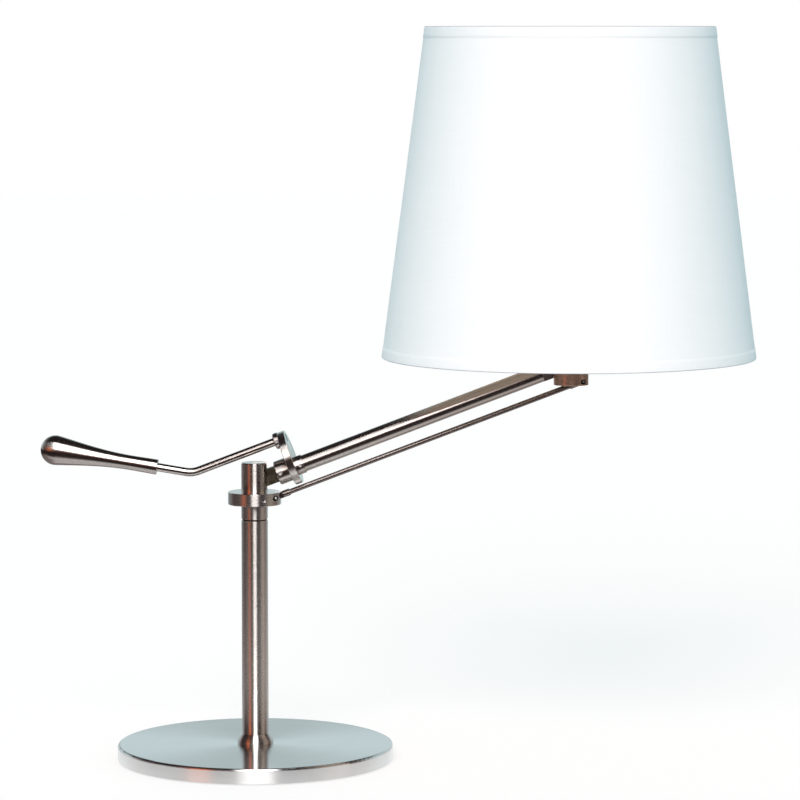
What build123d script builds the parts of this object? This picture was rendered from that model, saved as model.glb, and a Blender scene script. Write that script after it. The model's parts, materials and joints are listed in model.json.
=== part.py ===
from build123d import *
import os
from math import cos, radians, sin

# A table lamp with a balance arm. A round base carries a column, a head that swivels on the
# column, an arm that pitches in the head, a link rod that keeps the shade level, and the shade.
# Millimetres and degrees. The origin is the centre of the underside, +Z is up, and the arm
# lies in the plane Y = 0 with the shade towards +X.

os.makedirs("parts", exist_ok=True)

# --- fits ---------------------------------------------------------------------------------
FIT = 0.05             # radial clearance of a shaft in its bore
HOLE_PLAY = 0.3        # radial clearance of a threaded tube in a plain hole
WASHER_GAP = 0.05      # play beside a thrust washer
SCREW_D = 4.0          # grub screws of the collar and the hub
SMALL_SCREW_D = 3.0    # grub screws of the ferrule and the boss

# --- base ---------------------------------------------------------------------------------
BASE_D = 260.0
BASE_H = 15.0
BASE_ROUND = 2.5       # rounding of the cover's upper edge
COVER_WALL = 1.5       # sheet of the spun cover
SKIRT_GAP = 1.0        # height of the cover's lower edge above the table
FELT_D = 248.0
FELT_H = 2.0
NUT_POCKET_D = 32.0
NUT_POCKET_TOP = 10.0
CORD_WAY = 8.0         # width of the channel for the lead, from the middle to the rear
CORD_WAY_TOP = 10.0
CORD_Z = 6.2           # height of the lead's outlet
GROMMET_BORE = 5.2
GROMMET_RIM_D = 10.2
GROMMET_RIM_T = 1.5
GROMMET_BODY_D = 7.2
GROMMET_LENGTH = 7.5
NUT_H = 5.0
FOOT_WASHER_T = 2.0

# --- column -------------------------------------------------------------------------------
COLUMN_D = 25.0
COLUMN_WALL = 1.5
COLUMN_TOP = 227.4
FOOT_D = 34.0
FOOT_BAND = 2.8        # height of the foot collar's straight band
FOOT_H = 9.4
FOOT_TOP_D = 26.2
FOOT_EDGE = 0.4
FOOT_PLUG_H = 25.0
NIPPLE_D = 10.0        # M10x1 hollow thread, as lamps use
NIPPLE_BORE = 6.5
BUSH_LENGTH = 30.0
BUSH_RIM_H = 0.8
SPIGOT_D = 14.0

# --- swivel head --------------------------------------------------------------------------
HEAD_D = 25.0
HEAD_BOTTOM = 228.75
HEAD_TOP = 282.0
HEAD_BORE = 7.5
SPIGOT_BOTTOM = 186.0
SLOT_W = 9.0           # slot for the arm's tongue, open to the right and the top
SLOT_FLOOR = 257.0
SLOT_BACK = -2.6
COLLAR_D = 50.0
COLLAR_BOTTOM = 242.6
COLLAR_H = 11.7
LINK_SLOT_W = 3.8
LINK_SLOT_BACK = 16.6
GRUB_TURN = 25.0       # the collar's grub screw, to the right of the front

# --- arm and link: a parallelogram --------------------------------------------------------
ARM_ANGLE = 21.0       # slope of the arm at rest
ARM_LENGTH = 307.8     # from the head's pivot to the shade's pivot
ARM_PIVOT_X = 5.6
ARM_PIVOT_Z = 265.5
LINK_DX = 15.1         # from the arm's pivot to the link's pivot
LINK_DZ = -16.0
PIVOT_D = 6.0
LINK_PIN_D = 3.0
PIN_RECESS_D = 4.6        # recess round the ends of the link's pins
PIN_DOME = 1.2            # rounding of their ends
TONGUE_T = 8.0
TONGUE_H = 15.4
SHANK_D = 13.0
HUB_D = 23.0
HUB_START = 17.0       # places along the arm, from the head's pivot
HUB_SCREW_AT = 20.8
DISC_START = 30.3
TUBE_START = 37.2
FERRULE_SCREW_AT = 40.6
FERRULE_END = 43.8
SHANK_END = 60.0
TUBE_END = ARM_LENGTH - 25.0
DISC_D = 52.2
DISC_RISE = 9.75       # centre of the offset disc above the arm's axis
FERRULE_D = 18.0
ARM_D = 16.0
ARM_WALL = 1.5
LINK_D = 5.0
EYE_T = 3.0
EYE_R = 3.6
ROD_IN_EYE = 4.0
BARREL_D = 6.6
BARREL_START = 6.9     # from the pin to the eye's barrel
BARREL_END = 13.5

# --- counterweight ------------------------------------------------------------------------
ROD_D = 8.0
ROD_RISE = 28.7        # above the arm's axis
ROD_BEND_AT = -57.6    # place of the bend along the arm
ROD_BEND_R = 24.0
ROD_BEND_TURN = 30.3
ROD_REACH = 33.3       # from the bend to the handle
ROD_IN_HANDLE = 24.0
BOSS_D = 15.5
BOSS_H = 5.0
HANDLE_END_R = 7.2
HANDLE_BULB_R = 14.1
HANDLE_BULB_AT = 97.4  # centre of the bulb from the handle's small end
HANDLE_FLARE = 8.0     # slope of the flank where it meets the bulb

# --- lamp head ----------------------------------------------------------------------------
LAMP_X = 294.5         # axis of the shade and the lampholder
CLEVIS_X = 296.9       # axis of the clevis, a little off it so that the link's pin has metal all round
CLEVIS_D = 33.5
CLEVIS_BOTTOM = 356.3
CLEVIS_TOP = 392.0
CLEVIS_SLOT_TOP = 384.3
SOCKET_BOTTOM = 395.5
SOCKET_D = 38.0
CUP_H = 20.0
SOCKET_TOP = 452.0
SOCKET_BORE = 28.0
CLAMP_BOTTOM = 440.0
CLAMP_D = 56.0
CLAMP_H = 6.0
SPIDER_T = 1.5
SPIDER_ARMS = 3
SPIDER_ARM_D = 3.0
BULB_D = 60.0
BULB_CENTRE = 520.0
BULB_WALL = 0.9
BULB_CAP_D = 26.2
BULB_CAP_H = 25.0
BULB_CAP_WALL = 1.0
KNOB_Z = 408.0         # axis of the switch, in the lampholder's cup

# --- shade --------------------------------------------------------------------------------
SHADE_BOTTOM = 382.0
SHADE_TOP = 690.0
SHADE_BOTTOM_D = 350.0
SHADE_TOP_D = 270.0
SHADE_T = 1.2
TRIM_H = 10.5
TRIM_T = 0.4
WIRE_D = 3.2           # wire rings of the shade's frame

# --- places worked out from these ---------------------------------------------------------
rise = sin(radians(ARM_ANGLE))
run = cos(radians(ARM_ANGLE))
arm_pivot = Vector(ARM_PIVOT_X, 0, ARM_PIVOT_Z)
arm_reach = Vector(ARM_LENGTH * run, 0, ARM_LENGTH * rise)
link_offset = Vector(LINK_DX, 0, LINK_DZ)
shade_pivot = arm_pivot + arm_reach
link_pin_low = arm_pivot + link_offset
link_pin_high = shade_pivot + link_offset
arm_direction = (run, 0, rise)

# Planes across the arm and the link: local x is +Y, local y is up from the axis.
across_arm = Plane(origin=arm_pivot, x_dir=(0, 1, 0), z_dir=arm_direction)
across_link = Plane(origin=link_pin_low, x_dir=(0, 1, 0), z_dir=arm_direction)
# Planes seen from the side: local x runs along the arm, local y is up from its axis.
beside_arm = Plane(origin=arm_pivot, x_dir=arm_direction, z_dir=(0, -1, 0))
beside_shade_pivot = Plane(origin=shade_pivot, x_dir=arm_direction, z_dir=(0, -1, 0))
lamp_section = Plane(origin=(LAMP_X, 0, 0), x_dir=(1, 0, 0), z_dir=(0, -1, 0))
lamp_axis = Axis((LAMP_X, 0, 0), (0, 0, 1))

column_bore = COLUMN_D - 2 * COLUMN_WALL
arm_bore = ARM_D - 2 * ARM_WALL
cover_bore = BASE_D - 2 * COVER_WALL
weight_top = BASE_H - COVER_WALL
spigot_r = SPIGOT_D / 2 - FIT
bush_bottom = COLUMN_TOP - BUSH_LENGTH
collar_middle = COLLAR_BOTTOM + COLLAR_H / 2
cord_outlet = Plane(origin=(0, BASE_D / 2, CORD_Z), x_dir=(1, 0, 0), z_dir=(0, -1, 0))
shade_slope = (SHADE_BOTTOM_D - SHADE_TOP_D) / 2 / (SHADE_TOP - SHADE_BOTTOM)


def save(piece, name):
    """Label a finished piece and write its STEP file."""
    piece.part.label = name
    export_step(piece.part, f"parts/{name}.step")


def annulus(outer_d, inner_d):
    """Draw a ring in the open sketch."""
    Circle(outer_d / 2)
    Circle(inner_d / 2, mode=Mode.SUBTRACT)


def level(z, x=0):
    """The horizontal plane at height z, with its origin on the axis at x."""
    return Plane(origin=(x, 0, z), x_dir=(1, 0, 0), z_dir=(0, 0, 1))


def facing_front(along, above=0):
    """A plane on the arm's axis, with its normal towards the front."""
    origin = arm_pivot + Vector(run, 0, rise) * along + Vector(-rise, 0, run) * above
    return Plane(origin=origin, x_dir=arm_direction, z_dir=(0, -1, 0))


def shade_radius(z):
    """Outer radius of the shade, trims included, at height z."""
    return SHADE_BOTTOM_D / 2 - (z - SHADE_BOTTOM) * shade_slope


beside_boss = facing_front(DISC_START - BOSS_H / 2, ROD_RISE)

# ==========================================================================================
# Base
# ==========================================================================================
with BuildPart() as base_cover:
    with BuildSketch(Plane.XY.offset(SKIRT_GAP)):
        Circle(BASE_D / 2)
    extrude(amount=BASE_H - SKIRT_GAP)
    fillet(base_cover.edges().group_by(Axis.Z)[-1], radius=BASE_ROUND)
    with BuildSketch(Plane.XY.offset(SKIRT_GAP)):
        Circle(cover_bore / 2)
    extrude(amount=weight_top - SKIRT_GAP, mode=Mode.SUBTRACT)
    with BuildSketch(Plane.XY.offset(weight_top)):
        Circle(NIPPLE_D / 2 + HOLE_PLAY)
    extrude(amount=COVER_WALL, mode=Mode.SUBTRACT)
    with BuildSketch(cord_outlet):
        Circle(CORD_WAY / 2 + FIT)
    extrude(amount=BASE_D / 8, mode=Mode.SUBTRACT)
save(base_cover, "base_cover")

with BuildPart() as base_weight:
    with BuildSketch(Plane.XY.offset(FELT_H)):
        annulus(cover_bore - 0.2, NIPPLE_D + 2 * HOLE_PLAY)
    extrude(amount=weight_top - FELT_H)
    with BuildSketch(Plane.XY.offset(FELT_H)):
        Circle(NUT_POCKET_D / 2)
        with Locations((0, BASE_D / 4)):
            Rectangle(CORD_WAY + 0.4, BASE_D / 2)
    extrude(amount=NUT_POCKET_TOP - FELT_H, mode=Mode.SUBTRACT)
save(base_weight, "base_weight")

with BuildPart() as base_felt:
    with BuildSketch(Plane.XY):
        Circle(FELT_D / 2)
    extrude(amount=FELT_H)
save(base_felt, "base_felt")

with BuildPart() as cord_grommet:
    # Rubber sleeve in the rear of the cover, where the lead leaves the base.
    with BuildSketch(cord_outlet.offset(-GROMMET_RIM_T)):
        Circle(GROMMET_RIM_D / 2)
    extrude(amount=GROMMET_RIM_T)
    with BuildSketch(cord_outlet.offset(-GROMMET_RIM_T)):
        Circle(GROMMET_BODY_D / 2)
    extrude(amount=GROMMET_LENGTH)
    with BuildSketch(cord_outlet.offset(-GROMMET_RIM_T)):
        Circle(GROMMET_BORE / 2)
    extrude(amount=GROMMET_LENGTH, mode=Mode.SUBTRACT)
save(cord_grommet, "cord_grommet")

with BuildPart() as foot_washer:
    with BuildSketch(Plane.XY.offset(NUT_POCKET_TOP - FOOT_WASHER_T)):
        annulus(28, NIPPLE_D + 0.4)
    extrude(amount=FOOT_WASHER_T)
save(foot_washer, "foot_washer")

with BuildPart() as foot_nut:
    with BuildSketch(Plane.XY.offset(NUT_POCKET_TOP - FOOT_WASHER_T - NUT_H)):
        RegularPolygon(17 / 2, 6, major_radius=False)
        Circle(NIPPLE_D / 2 + FIT, mode=Mode.SUBTRACT)
    extrude(amount=NUT_H)
save(foot_nut, "foot_nut")

with BuildPart() as foot_nipple:
    with BuildSketch(Plane.XY.offset(NUT_POCKET_TOP - 7.4)):
        annulus(NIPPLE_D, NIPPLE_BORE)
    extrude(amount=FOOT_PLUG_H + 8)
save(foot_nipple, "foot_nipple")

with BuildPart() as foot_plug:
    with BuildSketch(Plane.XY.offset(BASE_H)):
        annulus(column_bore - 2 * FIT, NIPPLE_D + 2 * FIT)
    extrude(amount=FOOT_PLUG_H)
save(foot_plug, "foot_plug")

with BuildPart() as foot_collar:
    with BuildSketch(Plane.XZ):
        with BuildLine():
            Polyline(
                (COLUMN_D / 2 + FIT, BASE_H + FOOT_H),
                (COLUMN_D / 2 + FIT, BASE_H),
                (FOOT_D / 2 - FOOT_EDGE, BASE_H),
                (FOOT_D / 2, BASE_H + FOOT_EDGE),
                (FOOT_D / 2, BASE_H + FOOT_BAND),
            )
            ThreePointArc(
                (FOOT_D / 2, BASE_H + FOOT_BAND),
                ((FOOT_D + FOOT_TOP_D) / 4 + FOOT_EDGE, BASE_H + (FOOT_BAND + FOOT_H) / 2),
                (FOOT_TOP_D / 2, BASE_H + FOOT_H),
            )
            Line((FOOT_TOP_D / 2, BASE_H + FOOT_H), (COLUMN_D / 2 + FIT, BASE_H + FOOT_H))
        make_face()
    revolve(axis=Axis.Z)
save(foot_collar, "foot_collar")

with BuildPart() as column_tube:
    with BuildSketch(Plane.XY.offset(BASE_H)):
        annulus(COLUMN_D, column_bore)
    extrude(amount=COLUMN_TOP - BASE_H)
    chamfer(column_tube.edges().group_by(Axis.Z)[-1].sort_by(SortBy.LENGTH)[-1], length=0.3)
save(column_tube, "column_tube")

with BuildPart() as column_bush:
    with BuildSketch(Plane.XY.offset(bush_bottom)):
        annulus(column_bore - 2 * FIT, SPIGOT_D)
    extrude(amount=BUSH_LENGTH)
    with BuildSketch(Plane.XY.offset(COLUMN_TOP)):
        annulus(COLUMN_D - 2, SPIGOT_D)
    extrude(amount=BUSH_RIM_H)
save(column_bush, "column_bush")

# ==========================================================================================
# Swivel head
# ==========================================================================================
with BuildPart() as pivot_head:
    with BuildSketch(Plane.XY.offset(HEAD_BOTTOM)):
        Circle(HEAD_D / 2)
    extrude(amount=HEAD_TOP - HEAD_BOTTOM)
    chamfer(pivot_head.edges().group_by(Axis.Z)[-1], length=1.0)
    chamfer(pivot_head.edges().group_by(Axis.Z)[0], length=0.3)
    with BuildSketch(Plane.XY.offset(SPIGOT_BOTTOM)):
        Circle(spigot_r)
    extrude(amount=HEAD_BOTTOM - SPIGOT_BOTTOM)
    with BuildSketch(Plane.XY.offset(SLOT_FLOOR)):
        with Locations(((SLOT_BACK + HEAD_D) / 2, 0)):
            Rectangle(HEAD_D - SLOT_BACK, SLOT_W)
    extrude(amount=HEAD_TOP - SLOT_FLOOR, mode=Mode.SUBTRACT)
    with BuildSketch(Plane.XY.offset(SPIGOT_BOTTOM)):
        Circle(HEAD_BORE / 2)
    extrude(amount=SLOT_FLOOR - SPIGOT_BOTTOM, mode=Mode.SUBTRACT)
    with BuildSketch(Plane(origin=arm_pivot + Vector(0, HEAD_D / 2, 0), z_dir=(0, -1, 0))):
        Circle(PIVOT_D / 2 + FIT)
    extrude(amount=HEAD_D / 2 + 8.8, mode=Mode.SUBTRACT)
save(pivot_head, "pivot_head")

with BuildPart() as arm_pivot_pin:
    # Goes in from the rear and ends blind in the front cheek.
    with BuildSketch(Plane(origin=arm_pivot + Vector(0, 9.0, 0), z_dir=(0, -1, 0))):
        Circle(PIVOT_D / 2)
    extrude(amount=17.6)
    with BuildSketch(Plane(origin=arm_pivot + Vector(0, 9.0, 0), z_dir=(0, -1, 0))):
        Rectangle(PIVOT_D, 1.1)
    extrude(amount=1.3, mode=Mode.SUBTRACT)
save(arm_pivot_pin, "arm_pivot_pin")

with BuildPart() as thrust_washer_top:
    with BuildSketch(Plane.XY.offset(COLUMN_TOP + BUSH_RIM_H)):
        annulus(COLUMN_D - 2.4, SPIGOT_D + 0.4)
    extrude(amount=HEAD_BOTTOM - COLUMN_TOP - BUSH_RIM_H - WASHER_GAP)
save(thrust_washer_top, "thrust_washer_top")

with BuildPart() as thrust_washer_bottom:
    with BuildSketch(Plane.XY.offset(bush_bottom - 1.2)):
        annulus(20, SPIGOT_D + 2 * FIT)
    extrude(amount=1.2 - WASHER_GAP)
save(thrust_washer_bottom, "thrust_washer_bottom")

with BuildPart() as swivel_nut:
    with BuildSketch(Plane.XY.offset(bush_bottom - 8.2)):
        RegularPolygon(18 / 2, 6, major_radius=False)
        Circle(SPIGOT_D / 2 + FIT, mode=Mode.SUBTRACT)
    extrude(amount=7)
save(swivel_nut, "swivel_nut")

grub_direction = Vector(0, -1, 0).rotate(Axis.Z, GRUB_TURN)
collar_grub = Plane(origin=(0, 0, collar_middle), z_dir=grub_direction)
with BuildPart() as link_collar:
    with BuildSketch(Plane.XY.offset(COLLAR_BOTTOM)):
        annulus(COLLAR_D, HEAD_D + 2 * FIT)
    extrude(amount=COLLAR_H)
    rims = link_collar.edges().filter_by(GeomType.CIRCLE)
    chamfer([rim for rim in rims if rim.radius > HEAD_D / 2 + 1], length=0.5)
    with BuildSketch(Plane.XY.offset(COLLAR_BOTTOM)):
        with Locations(((LINK_SLOT_BACK + COLLAR_D) / 2, 0)):
            Rectangle(COLLAR_D - LINK_SLOT_BACK, LINK_SLOT_W)
    extrude(amount=COLLAR_H, mode=Mode.SUBTRACT)
    with BuildSketch(Plane(origin=link_pin_low, z_dir=(0, -1, 0))):
        Circle(LINK_PIN_D / 2 + FIT)
    extrude(amount=COLLAR_D / 2, both=True, mode=Mode.SUBTRACT)
    for side in (1, -1):
        with BuildSketch(Plane(origin=link_pin_low, z_dir=(0, side, 0)).offset(7.0)):
            Circle(PIN_RECESS_D / 2)
        extrude(amount=COLLAR_D / 2, mode=Mode.SUBTRACT)
    with BuildSketch(collar_grub):
        Circle(SCREW_D / 2 + FIT)
    extrude(amount=COLLAR_D / 2 + 1, mode=Mode.SUBTRACT)
save(link_collar, "link_collar")

with BuildPart() as link_pin_lower:
    with BuildSketch(Plane(origin=link_pin_low, z_dir=(0, -1, 0))):
        Circle(LINK_PIN_D / 2)
    extrude(amount=13.4, both=True)
    fillet(link_pin_lower.edges().filter_by(GeomType.CIRCLE), radius=PIN_DOME)
save(link_pin_lower, "link_pin_lower")

# ==========================================================================================
# Arm
# ==========================================================================================
with BuildPart() as arm_tongue:
    with BuildSketch(beside_arm):
        Circle(TONGUE_H / 2)
        with Locations((HUB_START / 2, 0)):
            Rectangle(HUB_START, TONGUE_H)
        Circle(PIVOT_D / 2 + FIT, mode=Mode.SUBTRACT)
    extrude(amount=TONGUE_T / 2, both=True)
    with BuildSketch(across_arm.offset(HUB_START)):
        Circle(SHANK_D / 2 - FIT)
    extrude(amount=SHANK_END - HUB_START)
save(arm_tongue, "arm_tongue")

with BuildPart() as arm_hub:
    with BuildSketch(across_arm.offset(HUB_START)):
        Circle(HUB_D / 2)
    extrude(amount=DISC_START - HUB_START)
    chamfer(arm_hub.edges().sort_by(Axis.X)[0], length=0.8)
    with BuildSketch(across_arm.offset(HUB_START)):
        Circle(SHANK_D / 2)
    extrude(amount=DISC_START - HUB_START, mode=Mode.SUBTRACT)
    with BuildSketch(facing_front(HUB_SCREW_AT)):
        Circle(SCREW_D / 2 + FIT)
    extrude(amount=HUB_D, mode=Mode.SUBTRACT)
save(arm_hub, "arm_hub")

with BuildPart() as offset_disc:
    with BuildSketch(across_arm.offset(DISC_START)):
        with Locations((0, DISC_RISE)):
            Circle(DISC_D / 2)
        Circle(SHANK_D / 2, mode=Mode.SUBTRACT)
        with Locations((0, ROD_RISE)):
            Circle(ROD_D / 2 + FIT, mode=Mode.SUBTRACT)
    extrude(amount=TUBE_START - DISC_START)
    rims = offset_disc.edges().filter_by(GeomType.CIRCLE)
    chamfer([rim for rim in rims if rim.radius > HUB_D], length=0.4)
save(offset_disc, "offset_disc")

with BuildPart() as arm_tube:
    with BuildSketch(across_arm.offset(TUBE_START)):
        annulus(ARM_D, arm_bore)
    extrude(amount=TUBE_END - TUBE_START)
    with BuildSketch(facing_front(FERRULE_SCREW_AT)):
        Circle(SMALL_SCREW_D / 2 + FIT)
    extrude(amount=ARM_D, mode=Mode.SUBTRACT)
save(arm_tube, "arm_tube")

with BuildPart() as arm_ferrule:
    with BuildSketch(across_arm.offset(TUBE_START)):
        annulus(FERRULE_D, ARM_D + 2 * FIT)
    extrude(amount=FERRULE_END - TUBE_START)
    rims = arm_ferrule.edges().filter_by(GeomType.CIRCLE)
    chamfer([rim for rim in rims if rim.radius > ARM_D / 2 + 0.5], length=0.3)
    with BuildSketch(facing_front(FERRULE_SCREW_AT)):
        Circle(SMALL_SCREW_D / 2 + FIT)
    extrude(amount=FERRULE_D, mode=Mode.SUBTRACT)
save(arm_ferrule, "arm_ferrule")

with BuildPart() as arm_end_plug:
    with BuildSketch(beside_shade_pivot):
        Circle(TONGUE_H / 2)
        with Locations(((TUBE_END - ARM_LENGTH) / 2, 0)):
            Rectangle(ARM_LENGTH - TUBE_END, TONGUE_H)
        Circle(PIVOT_D / 2 + FIT, mode=Mode.SUBTRACT)
    extrude(amount=TONGUE_T / 2, both=True)
    with BuildSketch(across_arm.offset(TUBE_END)):
        Circle(arm_bore / 2 - FIT)
    extrude(amount=-20)
save(arm_end_plug, "arm_end_plug")

bend_turn = radians(ROD_BEND_TURN)
rod_bend = (ROD_BEND_AT, ROD_RISE)
handle_slope = (-cos(bend_turn), sin(bend_turn))
rod_tip = (
    rod_bend[0] + handle_slope[0] * (ROD_REACH + ROD_IN_HANDLE),
    rod_bend[1] + handle_slope[1] * (ROD_REACH + ROD_IN_HANDLE),
)
with BuildPart() as counterweight_rod:
    with BuildLine(beside_arm):
        FilletPolyline((TUBE_START - 0.3, ROD_RISE), rod_bend, rod_tip, radius=ROD_BEND_R)
    with BuildSketch(across_arm.offset(TUBE_START - 0.3)):
        with Locations((0, ROD_RISE)):
            Circle(ROD_D / 2)
    sweep()
save(counterweight_rod, "counterweight_rod")

with BuildPart() as rod_boss:
    with BuildSketch(across_arm.offset(DISC_START - BOSS_H)):
        with Locations((0, ROD_RISE)):
            Circle(BOSS_D / 2)
    extrude(amount=BOSS_H)
    chamfer(rod_boss.edges().sort_by(Axis.X)[0], length=1.0)
    with BuildSketch(across_arm.offset(DISC_START - BOSS_H)):
        with Locations((0, ROD_RISE)):
            Circle(ROD_D / 2 + FIT)
    extrude(amount=BOSS_H, mode=Mode.SUBTRACT)
    with BuildSketch(beside_boss):
        Circle(SMALL_SCREW_D / 2 + FIT)
    extrude(amount=BOSS_D, mode=Mode.SUBTRACT)
save(rod_boss, "rod_boss")

# The handle is turned about its own axis, which follows the rod behind the bend.
turn_back = radians(ARM_ANGLE - ROD_BEND_TURN)
handle_direction = Vector(-cos(turn_back), 0, -sin(turn_back))
bend_point = arm_pivot + Vector(run, 0, rise) * ROD_BEND_AT + Vector(-rise, 0, run) * ROD_RISE
handle_start = bend_point + handle_direction * ROD_REACH
handle_section = Plane(origin=handle_start, x_dir=handle_direction, z_dir=(0, 1, 0))
flare = radians(HANDLE_FLARE)
bulb_meets = (HANDLE_BULB_AT - HANDLE_BULB_R * sin(flare), HANDLE_BULB_R * cos(flare))
half_way = radians(45 - HANDLE_FLARE / 2)
bulb_middle = (
    HANDLE_BULB_AT + HANDLE_BULB_R * sin(half_way),
    HANDLE_BULB_R * cos(half_way),
)
bulb_tip = (HANDLE_BULB_AT + HANDLE_BULB_R, 0)
with BuildPart() as counterweight_handle:
    with BuildSketch(handle_section):
        with BuildLine():
            Spline(
                (0.5, HANDLE_END_R),
                (HANDLE_BULB_AT * 0.31, HANDLE_END_R - 0.2),
                (HANDLE_BULB_AT * 0.62, HANDLE_BULB_R * 0.645),
                bulb_meets,
                tangents=((1, 0), (cos(flare), sin(flare))),
            )
            ThreePointArc(bulb_meets, bulb_middle, bulb_tip)
            Polyline(
                bulb_tip,
                (ROD_IN_HANDLE + 1, 0),
                (ROD_IN_HANDLE + 1, ROD_D / 2 + FIT),
                (0, ROD_D / 2 + FIT),
                (0, HANDLE_END_R - 0.5),
                (0.5, HANDLE_END_R),
            )
        make_face()
    revolve(axis=Axis(handle_start, handle_direction))
save(counterweight_handle, "counterweight_handle")

# ==========================================================================================
# Link rod: a rod with an eye on each end
# ==========================================================================================
with BuildPart() as link_rod:
    with BuildSketch(across_link.offset(BARREL_END - ROD_IN_EYE)):
        Circle(LINK_D / 2)
    extrude(amount=ARM_LENGTH - 2 * (BARREL_END - ROD_IN_EYE))
save(link_rod, "link_rod")

for eye_name, eye_pin, way in (
    ("link_eye_lower", link_pin_low, 1),
    ("link_eye_upper", link_pin_high, -1),
):
    eye_direction = (run * way, 0, rise * way)
    beside_eye = Plane(origin=eye_pin, x_dir=eye_direction, z_dir=(0, -1, 0))
    across_eye = Plane(origin=eye_pin, x_dir=(0, 1, 0), z_dir=eye_direction)
    with BuildPart() as link_eye:
        with BuildSketch(beside_eye):
            Circle(EYE_R)
            with Locations((BARREL_START / 2 + 0.5, 0)):
                Rectangle(BARREL_START + 1, EYE_R * 1.7)
        extrude(amount=EYE_T / 2, both=True)
        with BuildSketch(across_eye.offset(BARREL_START)):
            Circle(BARREL_D / 2)
        extrude(amount=BARREL_END - BARREL_START)
        with BuildSketch(across_eye.offset(BARREL_END - ROD_IN_EYE)):
            Circle(LINK_D / 2 + FIT)
        extrude(amount=ROD_IN_EYE, mode=Mode.SUBTRACT)
        with BuildSketch(beside_eye):
            Circle(LINK_PIN_D / 2 + 2 * FIT)
        extrude(amount=EYE_T, both=True, mode=Mode.SUBTRACT)
    save(link_eye, eye_name)

# ==========================================================================================
# Thrust washers of the two main pivots, a pair each
# ==========================================================================================
washer_t = (SLOT_W - TONGUE_T) / 2 - 2 * WASHER_GAP
for washer_name, pivot in (
    ("arm_pivot_washers", arm_pivot),
    ("shade_pivot_washers", shade_pivot),
):
    with BuildPart() as pivot_washers:
        for side in (1, -1):
            washer_start = pivot + Vector(0, side * (TONGUE_T / 2 + WASHER_GAP), 0)
            with BuildSketch(Plane(origin=washer_start, z_dir=(0, side, 0))):
                annulus(12.4, PIVOT_D + 0.4)
            extrude(amount=washer_t)
    save(pivot_washers, washer_name)

# ==========================================================================================
# Grub screws with a hexagon socket
# ==========================================================================================
for screw_name, screw_plane, tip_at, screw_d, screw_length in (
    ("collar_grub_screw", collar_grub, HEAD_D / 2 + FIT, SCREW_D, 10.6),
    ("hub_set_screw", facing_front(HUB_SCREW_AT), SHANK_D / 2, SCREW_D, 3.3),
    ("ferrule_set_screw", facing_front(FERRULE_SCREW_AT), SHANK_D / 2, SMALL_SCREW_D, 1.6),
    ("boss_set_screw", beside_boss, ROD_D / 2 + FIT, SMALL_SCREW_D, 2.8),
):
    with BuildPart() as grub_screw:
        with BuildSketch(screw_plane.offset(tip_at)):
            Circle(screw_d / 2)
        extrude(amount=screw_length)
        with BuildSketch(screw_plane.offset(tip_at + screw_length)):
            RegularPolygon(screw_d * 0.27, 6)
        extrude(amount=-screw_length * 0.6, mode=Mode.SUBTRACT)
    save(grub_screw, screw_name)

# ==========================================================================================
# Lamp head: clevis, pins and lampholder
# ==========================================================================================
with BuildPart() as shade_clevis:
    with BuildSketch(level(CLEVIS_BOTTOM, CLEVIS_X)):
        Circle(CLEVIS_D / 2)
    extrude(amount=CLEVIS_TOP - CLEVIS_BOTTOM)
    chamfer(shade_clevis.edges().group_by(Axis.Z)[-1], length=0.8)
    chamfer(shade_clevis.edges().group_by(Axis.Z)[0], length=0.4)
    with BuildSketch(level(CLEVIS_BOTTOM, CLEVIS_X)):
        Rectangle(CLEVIS_D + 2, SLOT_W)
    extrude(amount=CLEVIS_SLOT_TOP - CLEVIS_BOTTOM, mode=Mode.SUBTRACT)
    with BuildSketch(level(CLEVIS_SLOT_TOP, LAMP_X)):
        Circle(NIPPLE_D / 2 + FIT)
    extrude(amount=CLEVIS_TOP - CLEVIS_SLOT_TOP, mode=Mode.SUBTRACT)
    with BuildSketch(beside_shade_pivot):
        Circle(PIVOT_D / 2 + FIT)
    extrude(amount=CLEVIS_D / 2, both=True, mode=Mode.SUBTRACT)
    with BuildSketch(Plane(origin=link_pin_high, z_dir=(0, -1, 0))):
        Circle(LINK_PIN_D / 2 + FIT)
    extrude(amount=CLEVIS_D / 2, both=True, mode=Mode.SUBTRACT)
    for side in (1, -1):
        with BuildSketch(Plane(origin=link_pin_high, z_dir=(0, side, 0)).offset(6.2)):
            Circle(PIN_RECESS_D / 2)
        extrude(amount=CLEVIS_D / 2, mode=Mode.SUBTRACT)
save(shade_clevis, "shade_clevis")

for pin_name, pin_at, pin_d, half_length, rounding in (
    ("shade_pivot_pin", shade_pivot, PIVOT_D, 15.6, 0.3),
    ("link_pin_upper", link_pin_high, LINK_PIN_D, 10.9, PIN_DOME),
):
    with BuildPart() as clevis_pin:
        with BuildSketch(Plane(origin=pin_at, z_dir=(0, -1, 0))):
            Circle(pin_d / 2)
        extrude(amount=half_length, both=True)
        fillet(clevis_pin.edges().filter_by(GeomType.CIRCLE), radius=rounding)
    save(clevis_pin, pin_name)

with BuildPart() as link_spacers:
    for side in (1, -1):
        spacer_start = link_pin_high + Vector(0, side * (EYE_T / 2 + 0.1), 0)
        with BuildSketch(Plane(origin=spacer_start, z_dir=(0, side, 0))):
            annulus(5.8, LINK_PIN_D + 2 * FIT)
        extrude(amount=(SLOT_W - EYE_T) / 2 - 0.2)
save(link_spacers, "link_spacers")

with BuildPart() as socket_nipple:
    with BuildSketch(level(CLEVIS_SLOT_TOP + 0.7, LAMP_X)):
        annulus(NIPPLE_D, NIPPLE_BORE)
    extrude(amount=SOCKET_BOTTOM + 8 - CLEVIS_SLOT_TOP - 0.7)
save(socket_nipple, "socket_nipple")

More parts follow.
